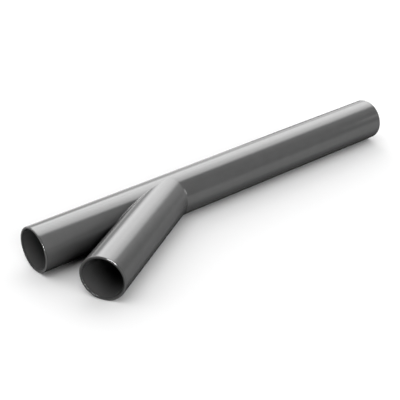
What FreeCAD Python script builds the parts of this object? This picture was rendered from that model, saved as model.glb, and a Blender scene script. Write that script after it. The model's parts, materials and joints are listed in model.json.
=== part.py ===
# A duct Y branch moulded in one piece. A straight tube, the run, is met at a shallow angle by a branch tube
# of the same bore. The axes cross in one level plane, so the skins meet in two upright plane curves: the
# crotch, in the sharp corner between the near legs, and the heel, in the blunt corner opposite. Both are
# rounded.
import FreeCAD, Part
import math
import os

Vector = FreeCAD.Vector

# Driving dimensions, in millimetres and degrees.
tube_outer_diameter = 50.0
wall_thickness = 3.0
run_length = 500.0
# Plain tube between an end and the crotch, where a coupling goes on.
run_spigot_length = 79.0
branch_spigot_length = 79.0
branch_angle = 30.0
crotch_radius = 0.6
heel_radius = 6.0
# Rounding of the inner and outer edges of each open end, at most this share of the wall.
rim_radius = 0.8
largest_rim_share = 0.4
# Arcs that a blend's skin is drawn through, from its top to its bottom.
blend_arcs = 25
# How closely the skins of a blend and a tube have to match to be one edge.
join_tolerance = 0.01

# The tubes.
outer_radius = tube_outer_diameter / 2
bore_radius = outer_radius - wall_thickness
up = Vector(0, 0, 1)
crossing = Vector(0, 0, 0)
away_from_branch = Vector(0, 1, 0)
to_far_end = Vector(1, 0, 0)
to_near_end = -to_far_end
to_branch_end = FreeCAD.Rotation(up, branch_angle).multVec(to_near_end)


def blend_reach(axis_a, axis_b, ball_radius):
    """How far along either axis from the crossing the blend between two tubes goes."""
    half_angle = axis_a.getAngle(axis_b) / 2
    return (outer_radius + ball_radius) / math.tan(half_angle)


crotch_reach = blend_reach(to_near_end, to_branch_end, crotch_radius)
near_leg = crotch_reach + run_spigot_length
branch_leg = crotch_reach + branch_spigot_length


def bar(start, axis, length, radius, seam_side):
    """A round bar. Its surface closes on itself along a line on the side that seam_side points to."""
    turn = FreeCAD.Rotation(seam_side, axis.cross(seam_side), axis, "ZXY")
    solid = Part.makeCylinder(radius, length)
    solid.Placement = FreeCAD.Placement(start, turn)
    return solid


def blend_edge(axis, other_axis, ball_radius):
    """The direction, seen from above, of the upright plane in which a blend ends on the tube along axis."""
    sideways = other_axis - axis * other_axis.dot(axis)
    sideways.normalize()
    edge = axis * blend_reach(axis, other_axis, ball_radius) + sideways * outer_radius
    return edge.normalize()


def upright_wedge(edge_a, edge_b):
    """The room between two upright half planes that share the upright line through the crossing."""
    past_all = 2 * (run_length + branch_leg)
    middle = (edge_a + edge_b).normalize()
    corners = [crossing, edge_a * past_all, middle * past_all, edge_b * past_all, crossing]
    lowest = up * -tube_outer_diameter
    plan = Part.Face(Part.makePolygon(corners))
    plan.translate(lowest)
    return plan.extrude(lowest * -2)


def ball_arc(axis_a, axis_b, ball_radius, climb):
    """The arc in which a ball touches both tubes as it rolls up the corner, as four Bezier poles.

    climb is the angle of the ball's centre above the level plane, seen along either tube."""
    half_angle = axis_a.getAngle(axis_b) / 2
    outward = (axis_a + axis_b).normalize()
    across = up.cross(outward)
    rise = outer_radius + ball_radius
    centre = outward * (rise * math.cos(climb) / math.sin(half_angle)) + up * (rise * math.sin(climb))
    to_tubes = outward * (math.sin(half_angle) * math.cos(climb)) + up * math.sin(climb)
    half_turn = math.asin(math.cos(half_angle) * math.cos(climb))
    forward = to_tubes.normalize() * ball_radius
    sideways = across * ball_radius
    handle = 4 / 3 * math.tan(half_turn / 2)
    poles = []
    for side in (1, -1):
        touch = centre - forward * math.cos(half_turn) + sideways * math.sin(half_turn) * side
        tangent = forward * math.sin(half_turn) + sideways * math.cos(half_turn) * side
        poles.append([touch, touch - tangent * handle])
    return poles[0] + poles[1][::-1]


def blend(axis_a, axis_b, ball_radius):
    """The solid between two upright planes whose skin rounds the corner between two tubes."""
    heights = [index / (blend_arcs - 1) for index in range(blend_arcs)]
    arcs = [ball_arc(axis_a, axis_b, ball_radius, math.pi * (0.5 - height)) for height in heights]
    lines = []
    for points in zip(*arcs):
        line = Part.BSplineCurve()
        line.interpolate(Points=list(points), Parameters=heights)
        lines.append(line)
    poles = list(zip(*[line.getPoles() for line in lines]))
    cubic = lines[0].Degree
    skin = Part.BSplineSurface()
    skin.buildFromPolesMultsKnots(poles, lines[0].getMultiplicities(), [cubic + 1, cubic + 1],
                                  lines[0].getKnots(), [0, 1], False, False, cubic, cubic)
    spine = Part.makeLine(crossing + up * outer_radius, crossing - up * outer_radius)
    sides = [Part.Face(Part.Wire([skin.vIso(end).toShape(), spine])) for end in (0, 1)]
    shell = Part.makeShell([skin.toShape()] + sides)
    shell.sewShape()
    return Part.makeSolid(shell)


def outer_body():
    """The fitting as if it were solid: each tube up to where the blends begin, and the two blends."""
    run = bar(crossing + to_near_end * near_leg, to_far_end, run_length, outer_radius, away_from_branch)
    branch = bar(crossing, to_branch_end, branch_leg, outer_radius, -up)
    opening = upright_wedge(blend_edge(to_near_end, to_branch_end, crotch_radius),
                            blend_edge(to_far_end, to_branch_end, heel_radius))
    kept = upright_wedge(blend_edge(to_branch_end, to_near_end, crotch_radius),
                         blend_edge(to_branch_end, to_far_end, heel_radius))
    crotch = blend(to_near_end, to_branch_end, crotch_radius)
    heel = blend(to_far_end, to_branch_end, heel_radius)
    return run.cut(opening).fuse([branch.common(kept), crotch, heel], join_tolerance).removeSplitter()


def bores():
    """The air's way through both tubes, a wall longer than they are at each end."""
    through = bar(crossing + to_near_end * (near_leg + wall_thickness), to_far_end,
                  run_length + 2 * wall_thickness, bore_radius, away_from_branch)
    side = bar(crossing, to_branch_end, branch_leg + wall_thickness, bore_radius, -up)
    return through.fuse(side)


def y_branch():
    """The finished fitting, lying on its three tubes, with the middle of its plan at the origin."""
    fitting = outer_body().cut(bores())
    rims = [edge for face in fitting.Faces if isinstance(face.Surface, Part.Plane) for edge in face.Edges]
    fitting = fitting.makeFillet(min(rim_radius, largest_rim_share * wall_thickness), rims)
    box = fitting.optimalBoundingBox(False)
    fitting.translate(-Vector(box.Center.x, box.Center.y, box.ZMin))
    return fitting


os.makedirs("parts", exist_ok=True)
y_branch().exportStep("parts/y_branch.step")
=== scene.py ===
# %% [markdown]
# A duct Y branch, a plain plastic fitting moulded in one piece, lies on its side on a white studio floor.
# Its shape comes from the frame: one solid with the real sizes, which stays as it is. This script gives
# the solid its finish and sets up the camera, the light and the floor. Lengths are in metres, apart from
# names that end in mm.

import json
import math

import bpy
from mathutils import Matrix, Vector


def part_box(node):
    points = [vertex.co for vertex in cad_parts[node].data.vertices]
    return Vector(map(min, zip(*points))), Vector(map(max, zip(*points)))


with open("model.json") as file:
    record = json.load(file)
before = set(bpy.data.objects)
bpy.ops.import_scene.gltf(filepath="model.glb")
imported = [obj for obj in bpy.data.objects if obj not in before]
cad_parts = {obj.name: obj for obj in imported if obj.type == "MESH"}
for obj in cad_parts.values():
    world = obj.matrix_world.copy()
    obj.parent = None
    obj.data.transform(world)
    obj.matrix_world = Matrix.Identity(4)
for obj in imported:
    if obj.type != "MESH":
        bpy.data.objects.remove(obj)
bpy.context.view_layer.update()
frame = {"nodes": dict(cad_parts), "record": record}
fitting = frame["nodes"]["y_branch"]
lowest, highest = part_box("y_branch")
print("the fitting is", [round(1000 * side, 1) for side in highest - lowest], "mm")

# %% [markdown]
# The tubes' places come from the record of the part. Every open end has a mount that lies on the tube's
# axis, so the ends and the crossing of the two axes are read from there and not typed again. The fitting
# lies flat, so its height is the tubes' diameter.

# %% The tubes' places
mounts = {mount["name"]: mount for mount in frame["record"]["mounts"]}
tube_radius = (highest.z - lowest.z) / 2
run_axis = Vector(mounts["far_end_bore"]["axis"])
branch_axis = Vector(mounts["branch_end_bore"]["axis"])
on_run = Vector(mounts["near_end_bore"]["pos_m"])
on_branch = Vector(mounts["branch_end_bore"]["pos_m"])
crossing = on_branch - branch_axis * ((on_branch.y - on_run.y) / branch_axis.y)
print("the tubes are", round(2000 * tube_radius, 1), "mm across")
print("their axes cross at", [round(1000 * place, 2) for place in crossing], "mm")

# %% [markdown]
# A helper for colours. Designers write colours as sRGB hex values, and shaders count in linear light,
# so one function turns the first into the second.

# %% Colours


def linear(hex_colour):
    """The linear RGBA colour of an sRGB hex value such as "#808080"."""
    channels = [int(hex_colour[start:start + 2], 16) / 255 for start in (1, 3, 5)]
    return [((c + 0.055) / 1.055) ** 2.4 if c > 0.04045 else c / 12.92 for c in channels] + [1.0]


black = linear("#000000")
print("a middle grey of #808080 is", round(linear("#808080")[0], 3), "in linear light")

# %% [markdown]
# A helper for nodes. Every material here is a small tree of nodes, and each one needs the same three
# things: its kind, its settings and what feeds its inputs. One function does all three. Some nodes have
# inputs that share a name, so an input can also be given by its number, as _0 or _1.

# %% Nodes


def add_node(tree, kind, settings=None, **inputs):
    """Adds a node. An input is a number, a colour or another node's output socket."""
    node = tree.nodes.new(kind)
    for name, value in (settings or {}).items():
        setattr(node, name, value)
    for name, value in inputs.items():
        by_number = name[1:].isdigit()
        socket = node.inputs[int(name[1:])] if by_number else node.inputs[name.replace("_", " ")]
        if isinstance(value, bpy.types.NodeSocket):
            tree.links.new(value, socket)
        else:
            socket.default_value = value
    return node


# With this setting a Map Range node eases in and out between its two ends. Without it the way is straight.
soft_ends = {"interpolation_type": "SMOOTHSTEP"}

# %% [markdown]
# The camera looks at the fitting from the front left and from above. Its place was worked out from the
# outline of the tubes: the direction and the distance are counted from the point where the two axes
# cross, in units of the tube's radius, so that they hold at any size.

# %% Camera
turn = math.radians(-40.09)
climb = math.radians(29.0)
distance_in_radii = 42.319
aim_in_radii = Vector((0.836, -1.132, 0.0))
lens_mm = 86.454
sensor_mm = 36.0

backwards = Vector((math.sin(turn) * math.cos(climb), -math.cos(turn) * math.cos(climb), math.sin(climb)))
aim = crossing + aim_in_radii * tube_radius
camera_data = bpy.data.cameras.new("camera")
camera_data.lens = lens_mm
camera_data.sensor_width = sensor_mm
camera = bpy.data.objects.new("camera", camera_data)
camera.location = aim + backwards * distance_in_radii * tube_radius
camera.rotation_euler = backwards.to_track_quat("Z", "Y").to_euler()
bpy.context.scene.collection.objects.link(camera)
bpy.context.scene.camera = camera
print("the camera stands", round((camera.location - aim).length, 3), "m away")

# %% [markdown]
# The studio light is painted into the world by direction, as two sets of lamps. Lamp objects would do
# too, but a painted world says exactly where each light starts and ends, and it can light the matt colour
# and the gloss differently. Every edge of a lamp is a plane or a cone round the fitting, found by how far
# a direction leans towards a middle line. So each edge has three values: that middle line, and the lean
# at which the light starts and at which it is full. The lean is a cosine: 1 is straight along the middle
# line and -1 is against it. A full value past 1 is never reached: that edge is one long soft slope.

# %% Directions


def toward(azimuth, elevation=0.0):
    """The direction at an azimuth in degrees, from +X to +Y, and a height above the horizon."""
    around, above = math.radians(azimuth), math.radians(elevation)
    return (math.cos(above) * math.cos(around), math.cos(above) * math.sin(around), math.sin(above))


upwards = toward(0.0, 90.0)
downwards = toward(0.0, -90.0)
print("the camera looks from", [round(part, 2) for part in backwards])

# %% [markdown]
# The first set of lamps lights the matt colour of the plastic and makes the soft shadow on the floor. It
# was worked out from that shadow and from the shades inside the bores. Each lamp has its strength and
# its edges.

# %% Lamps for the matt colour
matt_lamps = {
    "front wall": (6.28, [(toward(324.0), 0.12, 0.18), (toward(209.4), -1.3, 1.94),
                          (downwards, -0.613, -0.584)]),
    "back wall": (2.222, [(toward(89.5, -38.0), -0.642, 1.098)]),
    "ceiling": (2.581, [(toward(213.1, 67.5), 0.851, 1.012)]),
    "right wall": (0.649, [(toward(27.8, 19.5), 0.549, 0.569)]),
    "high left": (0.771, [(toward(130.3, 60.2), 0.931, 0.933)]),
    "low behind": (1.5, [(toward(70.0, 13.0), 0.9, 0.99)]),
}
print("the matt colour has", len(matt_lamps), "lamps")

# %% [markdown]
# The second set is what the gloss mirrors, worked out from the bands of light along the tubes. A studio
# does the same with cards and flags that only the shiny skin shows. The softbox is brightest in its
# middle, as a real one is, so it also swells: from a share of its strength at one lean to all of it at
# another. The small lamp makes the glints on the rims.

# %% Lamps for the gloss
softbox_line = toward(77.4, 40.2)
gloss_lamps = {
    "softbox": (8.55, [(softbox_line, 0.507, 0.734), (upwards, 0.216, 0.475)]),
    "low behind": (0.867, [(toward(85.7), -0.112, 0.143), (upwards, -0.173, -0.039)]),
    "paper behind": (1.0, [(toward(140.0), -0.02, 0.06), (toward(50.0), 0.4, 0.6),
                           (upwards, -0.6, -0.5), (downwards, -0.02, 0.1)]),
    "below the softbox": (12.0, [(toward(43.8), 0.887, 1.152), (upwards, -0.137, 0.791)]),
    "pale sweep": (11.86, [(toward(-82.0), -0.718, 9.795), (upwards, -0.802, -0.5),
                           (downwards, -0.127, 0.159)]),
    "small lamp": (110.0, [(toward(214.0, 16.5), 0.972, 0.984)]),
    "low right": (2.6, [(toward(-28.0, 15.0), 0.968, 0.988)]),
    "left wall": (0.707, [(toward(185.2, 10.3), -0.333, -0.29)]),
    "high right": (43.1, [(toward(-8.7, 40.5), 0.922, 2.207)]),
    "spot in the softbox": (0.778, [(toward(25.3, 50.4), 0.922, 0.968)]),
}
swells = {"softbox": [(softbox_line, 0.734, 0.956, 0.6), (upwards, 0.475, 1.137, 0.606)]}
print("the gloss has", len(gloss_lamps), "lamps")

# %% [markdown]
# The world adds the lamps of each set up in one Background node and chooses between the two by the kind
# of ray that asks. The camera itself sees plain white behind the floor. Light that the tubes mirror onto
# the floor would show as bright lines there, so the second set counts only before the first matt bounce.

# %% World
white_light = linear("#FFFFFF")
white_strength = 1.0
before_first_bounce = 0.5

world = bpy.data.worlds.new("studio")
bpy.context.scene.world = world
world.use_nodes = True
tree = world.node_tree
tree.nodes.clear()
direction = add_node(tree, "ShaderNodeTexCoord").outputs["Generated"]


def painted(lamps):
    """The brightness of all the lamps of a set together, in the direction that a ray asks for."""
    together = 0.0
    for name, (strength, edges) in lamps.items():
        slopes = [(soft_ends, to, starts, full, 0.0) for to, starts, full in edges]
        slopes += [({}, to, starts, full, least) for to, starts, full, least in swells.get(name, [])]
        lamp = strength
        for settings, to, starts, full, least in slopes:
            lean = add_node(tree, "ShaderNodeVectorMath", {"operation": "DOT_PRODUCT"}, _0=direction, _1=to)
            share = add_node(tree, "ShaderNodeMapRange", settings, Value=lean.outputs["Value"],
                             From_Min=starts, From_Max=full, To_Min=least).outputs[0]
            lamp = add_node(tree, "ShaderNodeMath", {"operation": "MULTIPLY"}, _0=lamp, _1=share).outputs[0]
        together = add_node(tree, "ShaderNodeMath", {"operation": "ADD"}, _0=together, _1=lamp).outputs[0]
    return together


ray = add_node(tree, "ShaderNodeLightPath").outputs
soft = add_node(tree, "ShaderNodeBackground", Color=white_light, Strength=painted(matt_lamps)).outputs[0]
straight = add_node(tree, "ShaderNodeMath", {"operation": "LESS_THAN"}, _0=ray["Diffuse Depth"],
                    _1=before_first_bounce).outputs[0]
shiny = add_node(tree, "ShaderNodeMath", {"operation": "MULTIPLY"}, _0=painted(gloss_lamps),
                 _1=straight).outputs[0]
mirrored = add_node(tree, "ShaderNodeBackground", Color=white_light, Strength=shiny).outputs[0]
white = add_node(tree, "ShaderNodeBackground", Color=white_light, Strength=white_strength).outputs[0]
lit = add_node(tree, "ShaderNodeMixShader", _0=ray["Is Glossy Ray"], _1=soft, _2=mirrored).outputs[0]
shown = add_node(tree, "ShaderNodeMixShader", _0=ray["Is Camera Ray"], _1=lit, _2=white).outputs[0]
add_node(tree, "ShaderNodeOutputWorld", Surface=shown)
print("the world has", len(tree.nodes), "nodes")

# %% [markdown]
# The floor is a plain sweep of white paper. Product pictures are lifted until the paper is white, so the
# camera sees a whiter paper than the fitting does: a grey one keeps the light that it throws back under
# the tubes low. The gloss looks through the paper to the lamps below the horizon, which stand for it,
# and only right beside the fitting, where the paper is in shade, does it mirror something dark. How much
# open air a point of the paper has within 30 mm tells where that is. The same open air also darkens the
# paper's colour into a thin painted contact shadow where the tubes touch the paper.

# %% Floor
floor_half = 12.0
paper_in_picture, paper_beside_fitting = linear("#F8F8F8"), linear("#747474")
paper_reach = 0.03
mirror_dark_at, mirror_clear_at = 0.45, 0.9
contact_shadow_tone, contact_shadow_gone_at = 0.45, 0.25

bpy.ops.mesh.primitive_plane_add(size=2 * floor_half, location=(0, 0, lowest.z))
floor = bpy.context.object
floor.name = "floor"
paper = bpy.data.materials.new("matt_white_paper")
paper.use_nodes = True
tree = paper.node_tree
tree.nodes.clear()
ray = add_node(tree, "ShaderNodeLightPath").outputs
paper_air = add_node(tree, "ShaderNodeAmbientOcclusion", {"samples": 8}, Distance=paper_reach).outputs["AO"]
clear_share = add_node(tree, "ShaderNodeMapRange", soft_ends, Value=paper_air, From_Min=mirror_dark_at,
                       From_Max=mirror_clear_at).outputs[0]
# Painted contact shadow: the paper's colour is darkened where little open air is left beside the tubes.
painted_contact_shadow = add_node(tree, "ShaderNodeMapRange", Value=paper_air, From_Min=0.0, From_Max=contact_shadow_gone_at,
                   To_Min=contact_shadow_tone, To_Max=1.0).outputs[0]
white = add_node(tree, "ShaderNodeVectorMath", {"operation": "SCALE"}, _0=paper_in_picture[:3],
                 Scale=painted_contact_shadow).outputs[0]
white = add_node(tree, "ShaderNodeBsdfDiffuse", Color=white).outputs[0]
grey = add_node(tree, "ShaderNodeBsdfDiffuse", Color=paper_beside_fitting).outputs[0]
dark = add_node(tree, "ShaderNodeBsdfDiffuse", Color=black).outputs[0]
clear = add_node(tree, "ShaderNodeBsdfTransparent").outputs[0]
mirrored = add_node(tree, "ShaderNodeMixShader", _0=clear_share, _1=dark, _2=clear).outputs[0]
thrown = add_node(tree, "ShaderNodeMixShader", _0=ray["Is Glossy Ray"], _1=grey, _2=mirrored).outputs[0]
seen = add_node(tree, "ShaderNodeMixShader", _0=ray["Is Camera Ray"], _1=thrown, _2=white).outputs[0]
add_node(tree, "ShaderNodeOutputMaterial", Surface=seen)
floor.data.materials.append(paper)
print("the floor lies at", round(1000 * lowest.z, 3), "mm")

# %% [markdown]
# The fitting is rigid PVC, moulded against polished steel: an even dark grey with a gloss. One material
# covers it, because it is one moulding. The cells below work out what feeds it: the darker rims, the
# dull inner edges with their painted shade, the haze and peel of the skin, and the painted shade that
# turns the closed corners black. All of it reads the place on the fitting, so that it stays where it is
# from every side.

# %% Moulded plastic
plastic_grey = "#555555"

plastic = bpy.data.materials.new("moulded_rigid_pvc")
plastic.use_nodes = True
tree = plastic.node_tree
tree.nodes.clear()
place = add_node(tree, "ShaderNodeTexCoord").outputs["Object"]
print("the plastic's colour is", round(linear(plastic_grey)[0], 3), "in linear light")

# %% [markdown]
# The ends are cut to length after moulding, and the photograph shows their flat faces a shade darker than
# the skin. A point is on a rim when it lies less than the edge's rounding, 0.8 mm, before the plane of one
# of the three ends. The largest of the three distances past an end tells that for all of them at once.

# %% Rims
rim_grey = "#4A4A4A"
rim_starts, rim_full = -0.0008, -0.0003
far_before = -1.0

past_end = far_before
for name in ("near_end_bore", "far_end_bore", "branch_end_bore"):
    end, axis = Vector(mounts[name]["pos_m"]), Vector(mounts[name]["axis"])
    along = add_node(tree, "ShaderNodeVectorMath", {"operation": "DOT_PRODUCT"}, _0=place, _1=axis)
    past = add_node(tree, "ShaderNodeMath", {"operation": "SUBTRACT"}, _0=along.outputs["Value"],
                    _1=end.dot(axis)).outputs[0]
    past_end = add_node(tree, "ShaderNodeMath", {"operation": "MAXIMUM"}, _0=past_end, _1=past).outputs[0]
    print(name, "ends", round(1000 * end.dot(axis), 1), "mm along its axis")
rim = add_node(tree, "ShaderNodeMapRange", soft_ends, Value=past_end, From_Min=rim_starts,
               From_Max=rim_full).outputs[0]
shade = add_node(tree, "ShaderNodeMix", {"data_type": "RGBA"}, _0=rim, _6=linear(plastic_grey),
                 _7=linear(rim_grey)).outputs[2]

# %% [markdown]
# The inner edge of a rim shows no glint, so it is made dull. A painted shade also makes it darker than
# the round outer edge, as shade falls at the mouth of the bore. The outer edge keeps its gloss and catches
# the small lamp. How far a point lies from the nearer of the two axes tells the two edges apart. How far
# it lies from the other axis is kept for later: on the skin, it says how near the other tube is.

# %% Dull inner edges with painted shade
dull_shaded_edge_to, glossy_from = 0.92 * tube_radius, 0.95 * tube_radius
dull_gloss, inner_edge_shade_tone = 0.12, 0.85
far_off = 1.0

to_near_axis, to_far_axis = far_off, 0.0
for point, axis in ((on_run, run_axis), (on_branch, branch_axis)):
    offset = add_node(tree, "ShaderNodeVectorMath", {"operation": "SUBTRACT"}, _0=place, _1=point).outputs[0]
    across = add_node(tree, "ShaderNodeVectorMath", {"operation": "CROSS_PRODUCT"}, _0=offset, _1=axis)
    distance = add_node(tree, "ShaderNodeVectorMath", {"operation": "LENGTH"}, _0=across.outputs[0])
    distance = distance.outputs["Value"]
    to_near_axis = add_node(tree, "ShaderNodeMath", {"operation": "MINIMUM"}, _0=to_near_axis,
                            _1=distance).outputs[0]
    to_far_axis = add_node(tree, "ShaderNodeMath", {"operation": "MAXIMUM"}, _0=to_far_axis,
                           _1=distance).outputs[0]
inner = add_node(tree, "ShaderNodeMapRange", soft_ends, Value=to_near_axis, From_Min=dull_shaded_edge_to,
                 From_Max=glossy_from, To_Min=1.0, To_Max=0.0).outputs[0]
dull_shaded_edge = add_node(tree, "ShaderNodeMath", {"operation": "MULTIPLY"}, _0=inner, _1=rim).outputs[0]
edge_gloss = add_node(tree, "ShaderNodeMapRange", Value=dull_shaded_edge, To_Min=1.0, To_Max=dull_gloss).outputs[0]
# Painted shade: the colour of a rim's inner edge is drawn darker, as shade falls at the bore's mouth.
inner_edge_painted_shade = add_node(tree, "ShaderNodeMapRange", Value=dull_shaded_edge, To_Min=1.0, To_Max=inner_edge_shade_tone).outputs[0]
shade = add_node(tree, "ShaderNodeVectorMath", {"operation": "SCALE"}, _0=shade, Scale=inner_edge_painted_shade).outputs[0]
print("an inner edge is dull up to", round(1000 * dull_shaded_edge_to, 1), "mm from its axis")

# %% [markdown]
# The skin of a moulding is never quite even. The steel's polish prints a faint haze, about a finger wide,
# that blurs the gloss and tints the grey a little here and there, and the plastic shrinks into a very
# shallow orange peel. Both only show in how a band of light wavers. Real peel is 1 to 2 mm wide, which is
# one pixel of the picture, so it is drawn 4 mm wide.

# %% Skin
haze_size, peel_size = 0.012, 0.004
peel_depth = 0.000004
haze_low, haze_high = 0.3, 0.7
blur_least, blur_most = 0.09, 0.115
tint_least, tint_most = 0.97, 1.03

haze = add_node(tree, "ShaderNodeTexNoise", Vector=place, Scale=1 / haze_size, Detail=2.0).outputs[0]
blur = add_node(tree, "ShaderNodeMapRange", Value=haze, From_Min=haze_low, From_Max=haze_high,
                To_Min=blur_least, To_Max=blur_most).outputs[0]
tint = add_node(tree, "ShaderNodeMapRange", Value=haze, From_Min=haze_low, From_Max=haze_high,
                To_Min=tint_least, To_Max=tint_most).outputs[0]
shade = add_node(tree, "ShaderNodeVectorMath", {"operation": "SCALE"}, _0=shade, Scale=tint).outputs[0]
peel = add_node(tree, "ShaderNodeTexNoise", Vector=place, Scale=1 / peel_size, Detail=1.0).outputs[0]
waver = add_node(tree, "ShaderNodeBump", Height=peel, Distance=peel_depth, Strength=1.0).outputs[0]
print("the haze is", 1000 * haze_size, "mm wide and the peel", 1000 * peel_size, "mm")

# %% [markdown]
# Deep in the bores and in the closed corner between the legs so little light gets in that the plastic
# goes black, and it mirrors nothing bright either. That shade is painted into the plastic: the open air
# round each point sets it, and where there is next to none within a hand's breadth, both the colour and
# the gloss fade towards black. Close to the crotch, where less than 16 mm is left between the two tubes,
# they fade sooner, and only on the legs' side of the crossing, so that the back of the run stays plain.

# %% Closed corners
hand_breadth = 0.08
black_air, plain_air = 0.03, 0.2
black_air_in_gap, plain_air_in_gap = 0.2, 0.45
gap_narrow, gap_wide = 0.004, 0.016
legs_start, legs_full = 0.04, 0.07

air = add_node(tree, "ShaderNodeAmbientOcclusion", {"samples": 16}, Distance=hand_breadth).outputs["AO"]
along = add_node(tree, "ShaderNodeVectorMath", {"operation": "DOT_PRODUCT"}, _0=place, _1=run_axis)
beside_legs = add_node(tree, "ShaderNodeMapRange", soft_ends, Value=along.outputs["Value"],
                       From_Min=crossing.dot(run_axis) - legs_full,
                       From_Max=crossing.dot(run_axis) - legs_start, To_Min=1.0, To_Max=0.0).outputs[0]
narrowness = add_node(tree, "ShaderNodeMapRange", Value=to_far_axis, From_Min=tube_radius + gap_narrow,
                      From_Max=tube_radius + gap_wide, To_Min=1.0, To_Max=0.0).outputs[0]
in_gap = add_node(tree, "ShaderNodeMath", {"operation": "MULTIPLY"}, _0=narrowness, _1=beside_legs).outputs[0]
black_at = add_node(tree, "ShaderNodeMapRange", Value=in_gap, To_Min=black_air,
                    To_Max=black_air_in_gap).outputs[0]
plain_at = add_node(tree, "ShaderNodeMapRange", Value=in_gap, To_Min=plain_air,
                    To_Max=plain_air_in_gap).outputs[0]
openness = add_node(tree, "ShaderNodeMapRange", soft_ends, Value=air, From_Min=black_at,
                    From_Max=plain_at).outputs[0]
# Painted shade: the plastic's colour fades to black where little open air is left round a point.
tone_with_painted_shade = add_node(tree, "ShaderNodeMix", {"data_type": "RGBA"}, _0=openness, _6=black, _7=shade).outputs[2]
print("the legs' side starts", 1000 * legs_start, "mm before the crossing")

# %% [markdown]
# Everything comes together in one Principled shader. PVC has an IOR of about 1.5, and 0.5 is the specular
# level that leaves it as it is. The dull edges and the painted shade of the closed corners turn that level
# down.

# %% The plastic's shader
pvc_ior = 1.5
plain_specular = 0.5

# The same painted shade turns the gloss down, a painted darkness in what the closed corners mirror.
gloss = add_node(tree, "ShaderNodeMath", {"operation": "MULTIPLY"}, _0=openness,
                 _1=plain_specular).outputs[0]
mirror = add_node(tree, "ShaderNodeMath", {"operation": "MULTIPLY"}, _0=gloss, _1=edge_gloss).outputs[0]
skin = add_node(tree, "ShaderNodeBsdfPrincipled", Base_Color=tone_with_painted_shade, Specular_IOR_Level=mirror,
                Roughness=blur, Normal=waver, IOR=pvc_ior).outputs[0]
add_node(tree, "ShaderNodeOutputMaterial", Surface=skin)
for slot in fitting.material_slots:
    slot.material = plastic
print("the plastic has", len(tree.nodes), "nodes on", len(fitting.material_slots), "slot")

# %% [markdown]
# The Standard view shows a colour as it is written, which a product picture needs.

# %% View
bpy.context.scene.view_settings.view_transform = "Standard"
print("the view is", bpy.context.scene.view_settings.view_transform)
